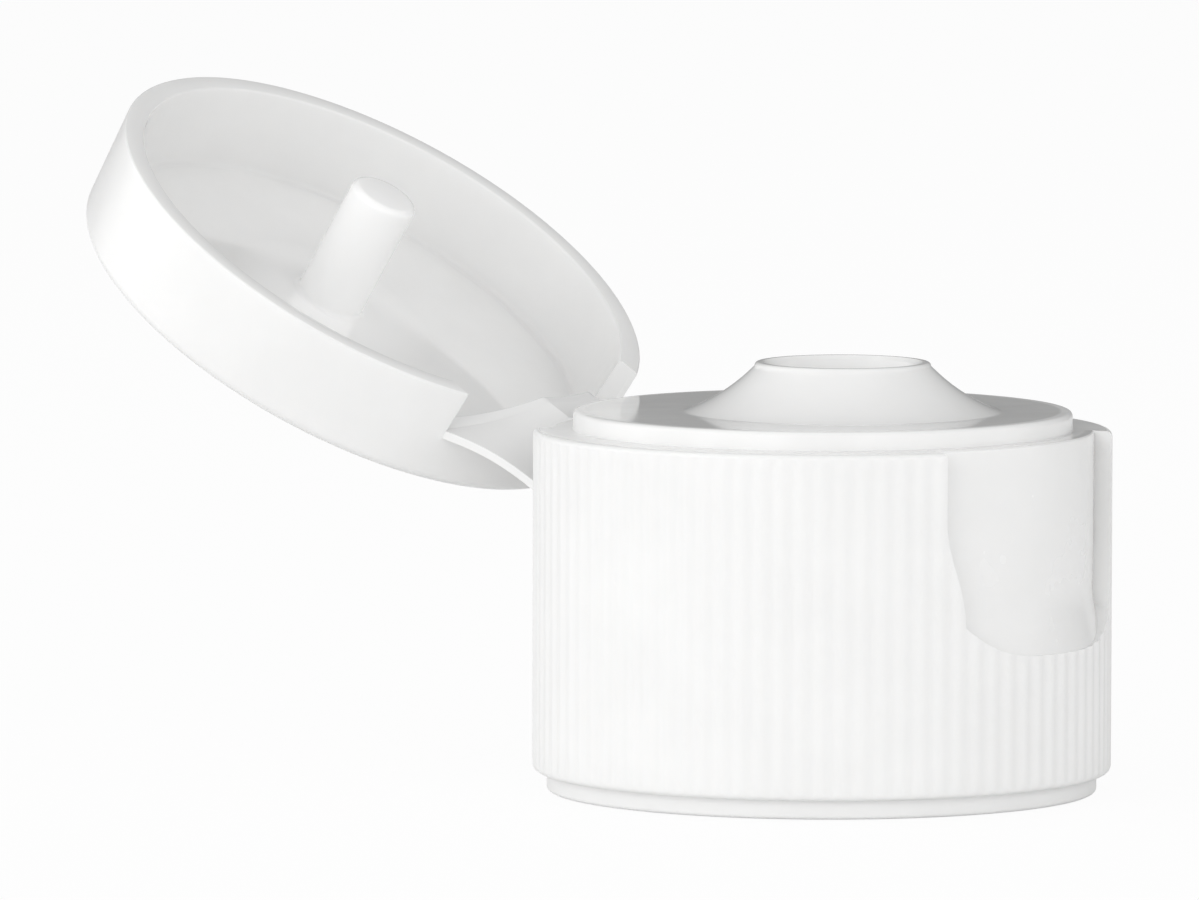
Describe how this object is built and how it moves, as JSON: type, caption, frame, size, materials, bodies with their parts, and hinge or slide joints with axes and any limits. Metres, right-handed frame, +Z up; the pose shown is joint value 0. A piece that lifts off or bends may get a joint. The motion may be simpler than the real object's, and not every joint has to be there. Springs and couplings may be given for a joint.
{
  "type": "flip top cap",
  "caption": "Ribbed round screw closure with a flared pouring spout and a hinged lid that carries a plug pin, lid open.",
  "frame": {"origin": "centre of the closure's bottom rim, on the axis of the neck bore", "axes": "+Z up the closure's axis, away from the bottle; +Y towards the hinge; -Y towards the thumb recess; the lid is open at rest"},
  "size_m": [0.0282, 0.0544, 0.033],
  "materials": {
    "polypropylene": "satin white moulding, glossy deck and lid inside"
  },
  "bodies": {
    "closure": {"closure_body": "polypropylene", "hinge_web": "polypropylene"},
    "lid": {"lid": "polypropylene"}
  },
  "joints": [
    {"name": "lid_hinge", "type": "hinge", "parent": "closure", "child": "lid", "pos_m": [0, 0.01418, 0.01765], "axis": [-1, 0, 0], "range_deg": [-147.4, 22.6], "stiffness_Nm_per_rad": 0.006, "deforming": ["hinge_web"]}
  ]
}
